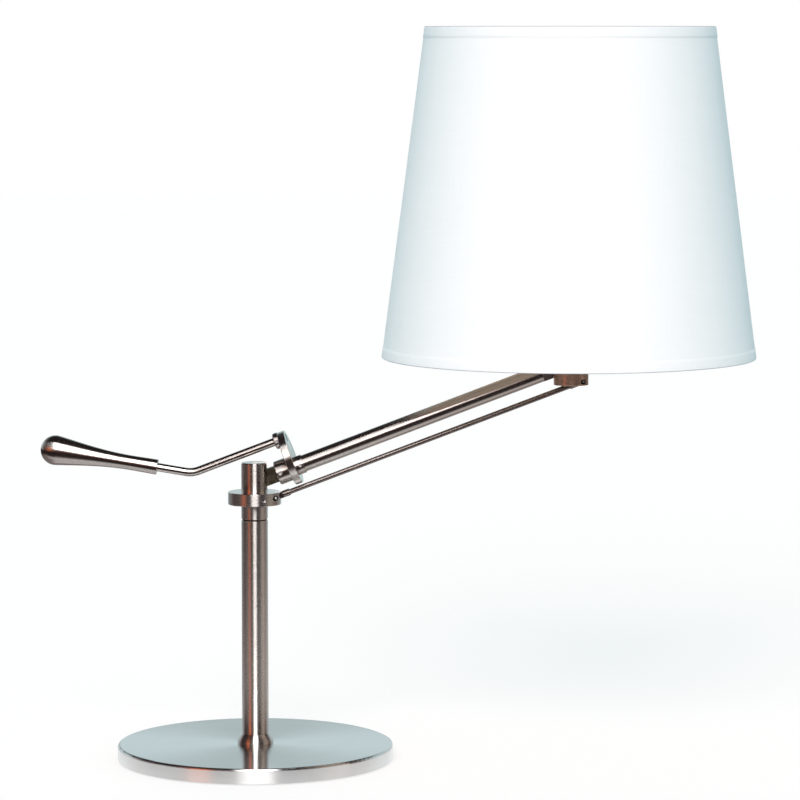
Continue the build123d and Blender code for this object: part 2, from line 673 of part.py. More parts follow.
with BuildPart() as nipple_locknut:
    with BuildSketch(level(CLEVIS_TOP, LAMP_X)):
        RegularPolygon(14 / 2, 6, major_radius=False)
        Circle(NIPPLE_D / 2 + FIT, mode=Mode.SUBTRACT)
    extrude(amount=SOCKET_BOTTOM - CLEVIS_TOP)
save(nipple_locknut, "nipple_locknut")

with BuildPart() as socket_cup:
    # Lower half of the lampholder: a domed cup that screws on to the nipple.
    with BuildSketch(lamp_section):
        with BuildLine():
            cup_top = SOCKET_BOTTOM + CUP_H
            inner_r = SOCKET_D / 2 - 2
            Polyline((NIPPLE_D / 2 + FIT, SOCKET_BOTTOM), (12, SOCKET_BOTTOM))
            TangentArc((12, SOCKET_BOTTOM), (SOCKET_D / 2, SOCKET_BOTTOM + 7), tangent=(1, 0))
            Polyline(
                (SOCKET_D / 2, SOCKET_BOTTOM + 7),
                (SOCKET_D / 2, cup_top),
                (inner_r, cup_top),
                (inner_r, SOCKET_BOTTOM + 6),
                (NIPPLE_D / 2 + FIT, SOCKET_BOTTOM + 6),
                (NIPPLE_D / 2 + FIT, SOCKET_BOTTOM),
            )
        make_face()
    revolve(axis=lamp_axis)
    with BuildSketch(Plane(origin=(LAMP_X, 0, KNOB_Z), z_dir=(0, -1, 0))):
        Circle(2 + FIT)
    extrude(amount=SOCKET_D, mode=Mode.SUBTRACT)
save(socket_cup, "socket_cup")

with BuildPart() as socket_body:
    # Upper half: takes the lamp's screw shell and has the thread for the shade's clamp ring.
    with BuildSketch(level(SOCKET_BOTTOM + CUP_H, LAMP_X)):
        Circle(SOCKET_D / 2)
    extrude(amount=SOCKET_TOP - SOCKET_BOTTOM - CUP_H)
    with BuildSketch(level(SOCKET_BOTTOM + CUP_H - 3, LAMP_X)):
        Circle(SOCKET_D / 2 - 2 - FIT)
    extrude(amount=3)
    with BuildSketch(level(SOCKET_BOTTOM + CUP_H + 3, LAMP_X)):
        Circle(SOCKET_BORE / 2)
    extrude(amount=SOCKET_TOP, mode=Mode.SUBTRACT)
    with BuildSketch(level(CLAMP_BOTTOM - SPIDER_T - 3, LAMP_X)):
        annulus(SOCKET_D + 6, SOCKET_D - 1)
    extrude(amount=3)
save(socket_body, "socket_body")

with BuildPart() as socket_screw_shell:
    with BuildSketch(level(SOCKET_BOTTOM + CUP_H + 3, LAMP_X)):
        annulus(SOCKET_BORE - 2 * FIT, SOCKET_BORE - 1)
    extrude(amount=SOCKET_TOP - SOCKET_BOTTOM - CUP_H - 5)
save(socket_screw_shell, "socket_screw_shell")

with BuildPart() as socket_contact:
    with BuildSketch(level(SOCKET_BOTTOM + CUP_H + 3, LAMP_X)):
        Circle(5)
    extrude(amount=3)
save(socket_contact, "socket_contact")

with BuildPart() as shade_clamp_ring:
    with BuildSketch(level(CLAMP_BOTTOM, LAMP_X)):
        annulus(CLAMP_D, SOCKET_D + 2 * FIT)
    extrude(amount=2)
    with BuildSketch(level(CLAMP_BOTTOM + 2, LAMP_X)):
        annulus(SOCKET_D + 6, SOCKET_D + 2 * FIT)
    extrude(amount=CLAMP_H - 2)
save(shade_clamp_ring, "shade_clamp_ring")

# ==========================================================================================
# Bulb and switch
# ==========================================================================================
cap_bottom = SOCKET_BOTTOM + CUP_H + 8
cap_top = cap_bottom + BULB_CAP_H
with BuildPart() as bulb_cap:
    with BuildSketch(level(cap_bottom, LAMP_X)):
        Circle(BULB_CAP_D / 2)
    extrude(amount=BULB_CAP_H)
    offset(amount=-BULB_CAP_WALL, openings=bulb_cap.faces().sort_by(Axis.Z)[-1])
    with BuildSketch(level(cap_bottom, LAMP_X)):
        Circle(4.6)
    extrude(amount=-2)
save(bulb_cap, "bulb_cap")

neck_r = BULB_CAP_D / 2 - 0.3
with BuildPart() as bulb_globe:
    with BuildSketch(lamp_section):
        with BuildLine():
            neck_angle = radians(38)
            neck_meets = (
                BULB_D / 2 * cos(neck_angle),
                BULB_CENTRE - BULB_D / 2 * sin(neck_angle),
            )
            Polyline((0, cap_top), (neck_r, cap_top), (neck_r, cap_top + 8))
            Spline(
                (neck_r, cap_top + 8),
                neck_meets,
                tangents=((0, 1), (sin(neck_angle), cos(neck_angle))),
            )
            ThreePointArc(neck_meets, (BULB_D / 2, BULB_CENTRE), (0, BULB_CENTRE + BULB_D / 2))
            Line((0, BULB_CENTRE + BULB_D / 2), (0, cap_top))
        make_face()
    revolve(axis=lamp_axis)
    offset(amount=-BULB_WALL, openings=bulb_globe.faces().sort_by(Axis.Z)[0])
save(bulb_globe, "bulb_globe")

with BuildPart() as switch_knob:
    # Turn key on the lampholder: a round stem with a flat paddle.
    stem_plane = Plane(origin=(LAMP_X, -14, KNOB_Z), x_dir=(1, 0, 0), z_dir=(0, -1, 0))
    with BuildSketch(stem_plane):
        Circle(2)
    extrude(amount=10)
    with BuildSketch(stem_plane.offset(8)):
        Circle(4)
    extrude(amount=4)
    with BuildSketch(stem_plane.offset(12)):
        SlotOverall(16, 4)
    extrude(amount=10)
    fillet(switch_knob.edges().sort_by(Axis.Y)[:4], radius=0.8)
save(switch_knob, "switch_knob")

# ==========================================================================================
# Shade: wire frame, skin and two edge tapes
# ==========================================================================================
skin_inset = TRIM_T
with BuildPart() as shade_skin:
    with BuildSketch(lamp_section):
        with BuildLine():
            Polyline(
                (shade_radius(SHADE_BOTTOM) - skin_inset, SHADE_BOTTOM),
                (shade_radius(SHADE_TOP) - skin_inset, SHADE_TOP),
                (shade_radius(SHADE_TOP) - skin_inset - SHADE_T, SHADE_TOP),
                (shade_radius(SHADE_BOTTOM) - skin_inset - SHADE_T, SHADE_BOTTOM),
                close=True,
            )
        make_face()
    revolve(axis=lamp_axis)
save(shade_skin, "shade_skin")

for trim_name, trim_bottom in (
    ("shade_trim_bottom", SHADE_BOTTOM),
    ("shade_trim_top", SHADE_TOP - TRIM_H),
):
    trim_top = trim_bottom + TRIM_H
    with BuildPart() as shade_trim:
        with BuildSketch(lamp_section):
            with BuildLine():
                Polyline(
                    (shade_radius(trim_bottom), trim_bottom),
                    (shade_radius(trim_top), trim_top),
                    (shade_radius(trim_top) - TRIM_T, trim_top),
                    (shade_radius(trim_bottom) - TRIM_T, trim_bottom),
                    close=True,
                )
            make_face()
        revolve(axis=lamp_axis)
    save(shade_trim, trim_name)

wire_inset = skin_inset + SHADE_T + WIRE_D / 2 + 0.3
bottom_wire_z = SHADE_BOTTOM + WIRE_D / 2 + 0.4
bottom_wire_r = shade_radius(bottom_wire_z) - wire_inset
top_wire_z = SHADE_TOP - WIRE_D / 2 - 0.4
top_wire_r = shade_radius(top_wire_z) - wire_inset
for wire_name, wire_r, wire_z in (
    ("shade_wire_bottom", bottom_wire_r, bottom_wire_z),
    ("shade_wire_top", top_wire_r, top_wire_z),
):
    with BuildPart() as shade_wire:
        with BuildSketch(lamp_section):
            with Locations((wire_r, wire_z)):
                Circle(WIRE_D / 2)
        revolve(axis=lamp_axis)
    save(shade_wire, wire_name)

with BuildPart() as shade_spider:
    with BuildSketch(level(CLAMP_BOTTOM - SPIDER_T, LAMP_X)):
        annulus(CLAMP_D - 2, SOCKET_D + 0.6)
    extrude(amount=SPIDER_T)
    for arm_number in range(SPIDER_ARMS):
        around = radians(90 + 360 / SPIDER_ARMS * arm_number)
        inner = Vector(
            LAMP_X + (CLAMP_D / 2 - 2) * cos(around),
            (CLAMP_D / 2 - 2) * sin(around),
            CLAMP_BOTTOM - SPIDER_T - 0.5,
        )
        outer = Vector(
            LAMP_X + (bottom_wire_r - WIRE_D / 2) * cos(around),
            (bottom_wire_r - WIRE_D / 2) * sin(around),
            bottom_wire_z,
        )
        spoke = outer - inner
        with BuildSketch(Plane(origin=inner, z_dir=spoke)):
            Circle(SPIDER_ARM_D / 2)
        extrude(amount=spoke.length)
save(shade_spider, "shade_spider")
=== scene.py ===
import json
import math

import bmesh
import bpy
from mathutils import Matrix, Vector


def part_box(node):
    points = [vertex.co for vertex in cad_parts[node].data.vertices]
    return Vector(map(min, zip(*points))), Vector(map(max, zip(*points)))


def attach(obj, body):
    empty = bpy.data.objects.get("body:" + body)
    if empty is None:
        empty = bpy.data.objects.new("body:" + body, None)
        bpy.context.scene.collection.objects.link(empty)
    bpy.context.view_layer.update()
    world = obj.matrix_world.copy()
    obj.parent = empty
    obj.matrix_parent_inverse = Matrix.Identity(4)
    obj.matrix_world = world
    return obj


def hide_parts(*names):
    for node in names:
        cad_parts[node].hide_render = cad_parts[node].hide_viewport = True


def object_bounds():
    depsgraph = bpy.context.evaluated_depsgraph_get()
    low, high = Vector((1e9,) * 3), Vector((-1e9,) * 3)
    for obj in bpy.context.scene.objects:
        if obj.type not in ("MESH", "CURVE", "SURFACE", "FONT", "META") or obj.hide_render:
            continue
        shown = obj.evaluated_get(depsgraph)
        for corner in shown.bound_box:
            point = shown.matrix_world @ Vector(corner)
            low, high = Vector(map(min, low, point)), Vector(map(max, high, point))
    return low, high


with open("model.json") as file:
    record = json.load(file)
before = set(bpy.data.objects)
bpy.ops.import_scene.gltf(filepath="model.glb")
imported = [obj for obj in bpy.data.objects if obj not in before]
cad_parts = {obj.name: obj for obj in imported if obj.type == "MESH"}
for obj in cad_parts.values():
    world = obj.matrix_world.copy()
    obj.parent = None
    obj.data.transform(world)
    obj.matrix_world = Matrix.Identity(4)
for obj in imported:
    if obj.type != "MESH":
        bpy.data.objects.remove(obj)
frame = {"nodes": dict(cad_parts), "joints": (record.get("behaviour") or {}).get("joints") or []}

CAD_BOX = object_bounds()
LAMP_CENTRE = (CAD_BOX[0] + CAD_BOX[1]) / 2
NODES = frame["nodes"]
JOINT_AT = {joint["name"]: Vector(joint["pos_m"]) for joint in frame["joints"]}
MM = 0.001
WHITE = (1, 1, 1)


# ------------------------------------------------------------------ camera

VIEW_AZIMUTH = 2.0
VIEW_ELEVATION = 5.614
VIEW_DISTANCE = 3.544
VIEW_REACH = 50
LENS = 170.2
AIM_FROM_CENTRE = Vector((0.0029, 0.0, -0.0037))


def from_the_lamp(azimuth, elevation):
    """A direction away from the lamp, in degrees: to the right of its front, and up."""
    a, e = math.radians(azimuth), math.radians(elevation)
    return Vector((math.sin(a) * math.cos(e), -math.cos(a) * math.cos(e), math.sin(e)))


def make_camera():
    """Far off, a little above the lamp's middle and a little to the right of square."""
    back = from_the_lamp(VIEW_AZIMUTH, VIEW_ELEVATION)
    data = bpy.data.cameras.new("camera")
    data.lens = LENS
    data.clip_end = VIEW_REACH
    camera = bpy.data.objects.new("camera", data)
    camera.location = LAMP_CENTRE + AIM_FROM_CENTRE + VIEW_DISTANCE * back
    camera.rotation_euler = (-back).to_track_quat("-Z", "Y").to_euler()
    bpy.context.scene.collection.objects.link(camera)
    bpy.context.scene.camera = camera


make_camera()
bpy.context.scene.view_settings.view_transform = "Standard"


# ------------------------------------------------------------------ node helpers

def connect(tree, socket, value):
    """Links another node's socket, or sets a number, vector or colour."""
    if isinstance(value, bpy.types.NodeSocket):
        tree.links.new(value, socket)
    elif socket.type == "RGBA" and len(value) == 3:
        socket.default_value = (*value, 1)
    else:
        socket.default_value = value


def add(tree, kind, inputs=None, **settings):
    """Adds a shader node with its settings and inputs."""
    made = tree.nodes.new("ShaderNode" + kind)
    for name, value in settings.items():
        setattr(made, name, value)
    for key, value in (inputs or {}).items():
        connect(tree, made.inputs[key], value)
    return made


def maths(tree, operation, *values):
    return add(tree, "Math", dict(enumerate(values)), operation=operation).outputs[0]


def vector(tree, operation, first, second=None):
    """A vector operation's result: a number for a dot product or a length, otherwise a vector."""
    inputs = {0: first}
    if second is not None:
        inputs["Scale" if operation == "SCALE" else 1] = second
    made = add(tree, "VectorMath", inputs, operation=operation)
    return made.outputs["Value" if operation in ("DOT_PRODUCT", "LENGTH") else "Vector"]


def split(tree, value):
    """A vector's three numbers."""
    return add(tree, "SeparateXYZ", {0: value}).outputs


def mixed(tree, share, first, second):
    """The colour that lies between two, by a share from 0 to 1."""
    made = add(tree, "Mix", data_type="RGBA")
    connect(tree, made.inputs[0], share)
    connect(tree, made.inputs[6], first)
    connect(tree, made.inputs[7], second)
    return made.outputs[2]


def ramp(tree, share, stops):
    """A colour ramp's colour, from stops of a place from 0 to 1 and a colour."""
    made = add(tree, "ValToRGB", {0: share})
    elements = made.color_ramp.elements
    while len(elements) < len(stops):
        elements.new(1)
    for element, (place, colour) in zip(elements, stops):
        element.position = place
        element.color = (*colour, 1)
    return made.outputs[0]


def noise(tree, at, scale=1.0, detail=2.0, output="Fac"):
    inputs = {"Vector": at, "Scale": scale, "Detail": detail}
    return add(tree, "TexNoise", inputs).outputs[output]


def spread(tree, value, low, high, from_low=0.3, from_high=0.7):
    """Stretches a range, a noise's middle range unless told, to run from low to high."""
    return add(tree, "MapRange", {0: value, 1: from_low, 2: from_high, 3: low, 4: high}).outputs[0]


def passing(tree, value, edges, rising=False):
    """From 1 to 0, or rising from 0 to 1, as a value passes from one edge to the other."""
    start, end = (0.0, 1.0) if rising else (1.0, 0.0)
    return add(tree, "MapRange", {0: value, 1: edges[0], 2: edges[1], 3: start, 4: end},
               interpolation_type="SMOOTHSTEP").outputs[0]


def bump(tree, height, distance, strength, under=None):
    inputs = {"Height": height, "Distance": distance, "Strength": strength}
    if under is not None:
        inputs["Normal"] = under
    return add(tree, "Bump", inputs).outputs[0]


def material(name, **settings):
    """A Principled material: its tree, its shader and itself. Numbers stay on its sockets."""
    made = bpy.data.materials.new(name)
    made.use_nodes = True
    shader = made.node_tree.nodes["Principled BSDF"]
    for key, value in settings.items():
        connect(made.node_tree, shader.inputs[key.replace("_", " ")], value)
    return made.node_tree, shader, made


def feed(tree, shader, **sockets):
    for key, value in sockets.items():
        tree.links.new(value, shader.inputs[key.replace("_", " ")])


def own_place(tree):
    return add(tree, "TexCoord").outputs["Object"]


def darker(colour, share):
    return tuple(c * (1 - share) for c in colour)


def finish_nodes(made, *names):
    """Gives CAD nodes a material through their material slots."""
    for name in names:
        mesh = NODES[name].data
        if not mesh.materials:
            mesh.materials.append(made)
        for slot in NODES[name].material_slots:
            slot.link = "OBJECT"
            slot.material = made


# ------------------------------------------------------------------ table top

FLOOR_DROP = 0.4 * MM
FLOOR_HALF = 12.0
FLOOR_GLOW = (0.71, 0.715, 0.717)
FLOOR_COLOUR = (0.30, 0.278, 0.27)
FLOOR_BOUNCE = (0.56, 0.62, 0.64)
# What metal sees of the table top: pale paper round the base, in front of the lamp and in a
# widening strip behind it, dimmer to the left and the right, and dark beyond. Places in metres.
PAPER_NEAR = (0.95, 0.97, 0.98)
PAPER_FRONT = (0.74, 0.70, 0.69)
PAPER_LEFT = (0.27, 0.225, 0.22)
PAPER_RIGHT = (0.60, 0.54, 0.52)
PAPER_BEHIND = (0.60, 0.76, 0.77)
PAPER_NONE = (0.035, 0.026, 0.025)
NEAR_EDGE = (0.19, 0.27)
LEFT_TO_RIGHT = (-0.1, 0.1)
FRONT_EDGE = (0.06, 0.16)
FRONT_SIDES = (0.42, 0.60)
FRONT_END = (0.11, 0.36)
SIDE_END = (0.75, 1.05)
BEHIND_EDGE = (0.2, 1.1)
BEHIND_HALF = 0.3               # half width of the strip at the lamp's own depth
BEHIND_SPREAD = 0.35            # how much wider it gets with each metre
BEHIND_SIDES = (0.8, 1.3)       # where its sides fade, in half widths


def paper_in_metal(tree):
    """The table top's colour in metal."""
    place = own_place(tree)
    x, y = split(tree, place)[:2]
    aside = maths(tree, "ABSOLUTE", x)
    ahead = maths(tree, "MULTIPLY", y, -1.0)
    around = vector(tree, "LENGTH", place)
    sides = mixed(tree, passing(tree, x, LEFT_TO_RIGHT, rising=True), PAPER_LEFT, PAPER_RIGHT)
    front = maths(tree, "MULTIPLY", passing(tree, ahead, FRONT_EDGE, rising=True),
                  passing(tree, aside, FRONT_SIDES))
    colour = mixed(tree, front, sides, PAPER_FRONT)
    within = maths(tree, "MULTIPLY", passing(tree, aside, SIDE_END),
                   passing(tree, ahead, FRONT_END))
    colour = mixed(tree, within, PAPER_NONE, colour)
    colour = mixed(tree, passing(tree, around, NEAR_EDGE), colour, PAPER_NEAR)
    half_width = maths(tree, "MULTIPLY_ADD", y, BEHIND_SPREAD, BEHIND_HALF)
    behind = maths(tree, "MULTIPLY", passing(tree, y, BEHIND_EDGE, rising=True),
                   passing(tree, maths(tree, "DIVIDE", aside, half_width), BEHIND_SIDES))
    return mixed(tree, behind, colour, PAPER_BEHIND)


def floor_material():
    """White to the camera with the lamp's shadow, pale to soft light, paper to metal."""
    made = bpy.data.materials.new("floor_white")
    made.use_nodes = True
    tree = made.node_tree
    tree.nodes.clear()
    rays = add(tree, "LightPath")
    in_metal = add(tree, "Emission", {0: paper_in_metal(tree)})
    lit = add(tree, "BsdfDiffuse", {0: FLOOR_COLOUR})
    glow = add(tree, "Emission", {0: FLOOR_GLOW})
    seen = add(tree, "AddShader", {0: lit.outputs[0], 1: glow.outputs[0]})
    bounce = add(tree, "BsdfDiffuse", {0: FLOOR_BOUNCE})
    for_camera = add(tree, "MixShader", {0: rays.outputs["Is Camera Ray"],
                                         1: bounce.outputs[0], 2: seen.outputs[0]})
    for_gloss = add(tree, "MixShader", {0: rays.outputs["Is Glossy Ray"],
                                        1: for_camera.outputs[0], 2: in_metal.outputs[0]})
    add(tree, "OutputMaterial", {0: for_gloss.outputs[0]})
    return made


def make_floor():
    """A plain white table top, larger than any view of it."""
    mesh = bpy.data.meshes.new("floor")
    corners = [(-1, -1), (1, -1), (1, 1), (-1, 1)]
    mesh.from_pydata([(x * FLOOR_HALF, y * FLOOR_HALF, -FLOOR_DROP) for x, y in corners],
                     [], [(0, 1, 2, 3)])
    mesh.materials.append(floor_material())
    floor = bpy.data.objects.new("floor", mesh)
    bpy.context.scene.collection.objects.link(floor)


# ------------------------------------------------------------------ room and light

DAYLIGHT = (0.20, 0.455, 0.51)
DARK_ROOM = (0.026, 0.019, 0.020)
BACKDROP = (0.60, 0.72, 0.745)
# What metal reflects round the horizon: degrees to the right of the lamp's front, and a colour.
ROOM = [
    (-180, BACKDROP),
    (-136, BACKDROP),
    (-124, (0.60, 0.60, 0.62)),
    (-112, (0.30, 0.27, 0.28)),
    (-104, (0.13, 0.10, 0.11)),
    (-94, (0.05, 0.037, 0.038)),
    (-66, (0.08, 0.055, 0.05)),
    (-57, (0.35, 0.10, 0.05)),
    (-50, (1.20, 0.32, 0.14)),
    (-37, (1.20, 0.32, 0.14)),
    (-30, (0.16, 0.09, 0.07)),
    (-20, (0.18, 0.14, 0.13)),
    (-4, (0.30, 0.21, 0.18)),
    (14, (0.28, 0.20, 0.21)),
    (24, (0.10, 0.06, 0.08)),
    (31, (0.03, 0.018, 0.022)),
    (43, (0.03, 0.018, 0.022)),
    (54, (0.14, 0.10, 0.09)),
    (64, (0.50, 0.42, 0.34)),
    (86, (0.60, 0.50, 0.42)),
    (98, (0.30, 0.21, 0.18)),
    (110, (0.11, 0.08, 0.07)),
    (120, (0.40, 0.40, 0.38)),
    (134, BACKDROP),
    (180, BACKDROP),
]
ROOM_TOP = (0.32, 0.62)         # where the walls end, as the sine of an elevation
LIGHT_DISTANCE = 3.0


def make_world():
    """White to the camera, dim daylight for soft light, and a room for metal to reflect."""
    world = bpy.data.worlds.new("studio")
    bpy.context.scene.world = world
    world.use_nodes = True
    tree = world.node_tree
    tree.nodes.clear()
    rays = add(tree, "LightPath")
    x, y, z = split(tree, add(tree, "TexCoord").outputs["Generated"])
    turn = maths(tree, "ARCTAN2", x, maths(tree, "MULTIPLY", y, -1.0))
    place = maths(tree, "MULTIPLY_ADD", turn, 0.5 / math.pi, 0.5)
    walls = ramp(tree, place, [((angle + 180) / 360, colour) for angle, colour in ROOM])
    in_metal = mixed(tree, passing(tree, z, ROOM_TOP, rising=True), walls, DARK_ROOM)
    soft = mixed(tree, rays.outputs["Is Glossy Ray"], DAYLIGHT, in_metal)
    through = maths(tree, "MAXIMUM", rays.outputs["Is Camera Ray"],
                    rays.outputs["Is Transmission Ray"])
    sky = add(tree, "Background", {0: mixed(tree, through, soft, WHITE), 1: 1.0})
    add(tree, "OutputWorld", {0: sky.outputs[0]})
    world.cycles.sampling_method = "NONE"


def make_light(name, kind, azimuth, elevation, glossy, **settings):
    """A light that shines on the lamp's middle, for metal alone or for everything else."""
    data = bpy.data.lights.new(name, kind)
    for key, value in settings.items():
        setattr(data, key, value)
    away = from_the_lamp(azimuth, elevation)
    light = bpy.data.objects.new(name, data)
    light.location = LAMP_CENTRE + LIGHT_DISTANCE * away
    light.rotation_euler = away.to_track_quat("Z", "Y").to_euler()
    light.visible_camera = False
    light.visible_glossy = glossy
    light.visible_diffuse = not glossy
    light.visible_transmission = not glossy
    bpy.context.scene.collection.objects.link(light)


def make_softbox_in_metal(azimuth, elevation, width, height, brightness):
    """The softbox, or its brighter middle, as metal shows it. Its size is in degrees."""
    across, up = (2 * LIGHT_DISTANCE * math.tan(math.radians(angle / 2))
                  for angle in (width, height))
    make_light("softbox_in_metal", "AREA", azimuth, elevation, glossy=True, shape="RECTANGLE",
               size=across, size_y=up, energy=brightness * math.pi * across * up)


def make_softlight(name, azimuth, elevation, width, energy, colour):
    """Soft light on cloth, paint and the table, as even as a far light. Its width is in degrees."""
    make_light(name, "SUN", azimuth, elevation, glossy=False, angle=math.radians(width),
               energy=energy, color=colour)


make_floor()
make_world()
make_softbox_in_metal(azimuth=2.6, elevation=37.5, width=32, height=61, brightness=2.4)
make_softbox_in_metal(azimuth=2.6, elevation=38.5, width=22, height=50, brightness=4.9)
make_softlight("softbox", azimuth=-4.5, elevation=33, width=30, energy=3.05,
               colour=(1.0, 0.78, 0.74))
make_softlight("wall_behind", azimuth=180, elevation=28, width=58, energy=1.35,
               colour=(1.0, 0.74, 0.68))


# ------------------------------------------------------------------ finishes

NICKEL = (0.66, 0.62, 0.59)
# A lighter copy of the nickel: painted light on the base.
NICKEL_BASE_LIT = (0.80, 0.79, 0.78)
# A darker copy of the nickel on the arm, the rod and the handle: painted shade that dims their
# highlights.
NICKEL_ARM_SHADED = (0.55, 0.51, 0.48)
# Nickel tinted warm brown: a painted reflection of the shade's lining.
NICKEL_CLEVIS_PAINTED_REFLECTION = (0.74, 0.52, 0.42)
# A much darker copy of the nickel: painted shade on the link.
NICKEL_LINK_SHADED = (0.27, 0.235, 0.22)
NICKEL_HANDLED = (0.55, 0.50, 0.46)
# Black painted into the recesses round pins and the rod: painted shade.
RECESS_PAINTED_SHADE = (0.012, 0.010, 0.010)
# Waves to a metre of the marks that hands and storage leave.
PRINTS = 38.0
STAINS = 160.0
SCRATCHES = (900.0, 900.0, 5200.0)
BRUSHING = 0.3                  # strength of the brushed lines
FINE_LINES = (2600.0, 2.2)      # waves to a metre along the piece, and their change round it
BROAD_LINES = (260.0, 0.7)
END_FACE = (0.7, 0.95)          # from a flank to an end face, by the cosine to the axis
OFF_POLE = (0.0003, 0.0005, 0.0004)    # keeps the tangent from vanishing on an axis


def middle(node):
    low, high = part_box(node)
    return (low + high) / 2


def turned_with_piece(tree, direction):
    """A direction of the piece at rest, turned as the piece is now."""
    return add(tree, "VectorTransform", {0: direction}, vector_type="VECTOR",
               convert_from="OBJECT", convert_to="WORLD").outputs[0]


def brushed_lines(tree, along, travelled, around, lines, detail):
    """A noise that is drawn out round the axis, in lines that follow each other along it."""
    each_metre, change_round = lines
    rings = vector(tree, "SCALE", vector(tree, "SCALE", along, travelled), each_metre)
    return noise(tree, vector(tree, "ADD", rings, vector(tree, "SCALE", around, change_round)),
                 detail=detail)


def turned(name, colour, along, through, roughness=0.27, end_roughness=0.09, bent=None,
           recess=None):
    """Satin nickel, brushed round an axis: highlights stretch along it and stay sharp across it.
    A bent rod has a second axis, bent, before the point that it goes through. A recess, given by
    a point on its axis, the axis and its radius, is painted black as painted shade."""
    tree, shader, made = material(name, Metallic=1.0, Anisotropic=1.0)
    place = vector(tree, "SUBTRACT", own_place(tree), tuple(through))
    if bent is None:
        along = tuple(along)
    else:
        ahead = vector(tree, "DOT_PRODUCT", place, tuple(along + bent))
        along = mixed(tree, maths(tree, "GREATER_THAN", ahead, 0.0), tuple(bent), tuple(along))
    ahead = vector(tree, "DOT_PRODUCT", place, along)
    out = vector(tree, "SUBTRACT", place, vector(tree, "SCALE", along, ahead))
    around = vector(tree, "NORMALIZE", vector(tree, "CROSS_PRODUCT", along, out))

    facing = add(tree, "NewGeometry").outputs["Normal"]
    across_grain = vector(tree, "CROSS_PRODUCT", facing, turned_with_piece(tree, around))
    tangent = vector(tree, "ADD", across_grain, OFF_POLE)
    to_axis = vector(tree, "DOT_PRODUCT", facing, turned_with_piece(tree, along))
    end_face = spread(tree, maths(tree, "ABSOLUTE", to_axis), 0.0, 1.0, *END_FACE)

    travelled = maths(tree, "ADD", ahead, vector(tree, "LENGTH", out))
    fine = brushed_lines(tree, along, travelled, around, FINE_LINES, detail=2.0)
    broad = brushed_lines(tree, along, travelled, around, BROAD_LINES, detail=3.0)
    handled = noise(tree, place, scale=PRINTS, detail=3.0)

    marks = maths(tree, "MULTIPLY", spread(tree, broad, -0.02, 0.025), BRUSHING)
    prints = spread(tree, handled, -0.015, 0.02)
    side = maths(tree, "ADD", maths(tree, "ADD", marks, prints), roughness)
    end = maths(tree, "ADD", maths(tree, "MULTIPLY", marks, 0.5), end_roughness)
    side_to_end = maths(tree, "MULTIPLY", end_face, maths(tree, "SUBTRACT", end, side))
    rough = maths(tree, "ADD", side, side_to_end)

    lined = maths(tree, "MULTIPLY", spread(tree, fine, 0.0, 0.5), BRUSHING)
    tint = mixed(tree, lined, colour, tuple(0.86 * c for c in colour))
    tint = mixed(tree, spread(tree, handled, 0.0, 0.10, 0.5, 0.8), tint, NICKEL_HANDLED)
    # Painted shade: the recess round a pin or the rod is painted black for the shade inside it.
    if recess is not None:
        centre, axis, reach = recess
        from_centre = vector(tree, "SUBTRACT", own_place(tree), tuple(centre))
        from_axis = vector(tree, "CROSS_PRODUCT", from_centre, tuple(axis))
        inside = maths(tree, "LESS_THAN", vector(tree, "LENGTH", from_axis), reach)
        tint = mixed(tree, inside, tint, RECESS_PAINTED_SHADE)
    feed(tree, shader, Base_Color=tint, Roughness=rough, Tangent=tangent,
         Normal=bump(tree, fine, 0.008 * MM, 0.4 * BRUSHING))
    return made


def moulded(name, colour, roughness, grain=420.0, depth=0.03, variation=0.05):
    """A plain surface with a fine grain: moulded plastic, enamel, rubber or paint.
    The grain is in waves to a metre, its depth in mm."""
    tree, shader, made = material(name)
    place = own_place(tree)
    fine = noise(tree, place, scale=grain, detail=4.0)
    broad = noise(tree, place, scale=grain / 14, detail=3.0)
    tint = mixed(tree, spread(tree, broad, 0.0, 1.0), colour, darker(colour, variation))
    blend = maths(tree, "MULTIPLY_ADD", broad, 0.5, maths(tree, "MULTIPLY", fine, 0.5))
    rough = spread(tree, blend, roughness - 0.05, roughness + 0.05)
    feed(tree, shader, Base_Color=tint, Roughness=rough,
         Normal=bump(tree, fine, depth * MM, 0.6))
    return made


def machined(name, colour, roughness):
    """Small steel and brass parts, too small to show the way they were brushed."""
    tree, shader, made = material(name, Metallic=1.0)
    place = own_place(tree)
    scratches = noise(tree, vector(tree, "MULTIPLY", place, SCRATCHES), detail=3.0)
    stains = noise(tree, place, scale=STAINS, detail=4.0)
    tint = mixed(tree, spread(tree, stains, 0.0, 0.35), colour, tuple(c * 0.72 for c in colour))
    rough = maths(tree, "ADD", spread(tree, stains, -0.04, 0.08), roughness)
    feed(tree, shader, Base_Color=tint, Roughness=rough,
         Normal=bump(tree, scratches, 0.01 * MM, 0.5))
    return made


UP = Vector((0, 0, 1))
ACROSS = Vector((0, 1, 0))
COLUMN = Vector((0, 0, 0))
ARM_PIVOT = JOINT_AT["arm_pitch"]
ARM = (JOINT_AT["shade_level"] - ARM_PIVOT).normalized()
ROD_BEND = math.radians(30.3)
HANDLE_SLOPE = math.atan2(ARM.z, ARM.x) - ROD_BEND
HANDLE = Vector((math.cos(HANDLE_SLOPE), 0, math.sin(HANDLE_SLOPE)))
HANDLE_BULB_R = 14.1 * MM
PIN_RECESS_R = 2.36 * MM
ROD_HOLE_R = 4.12 * MM


def bend_point():
    """Where the counterweight rod's two straight runs would meet."""
    low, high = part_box("counterweight_handle")
    bulb = Vector((low.x + HANDLE_BULB_R, 0, high.z - HANDLE_BULB_R))
    from_boss = bulb - middle("rod_boss")
    return middle("rod_boss") + ARM * (from_boss.cross(HANDLE).y / ARM.cross(HANDLE).y)
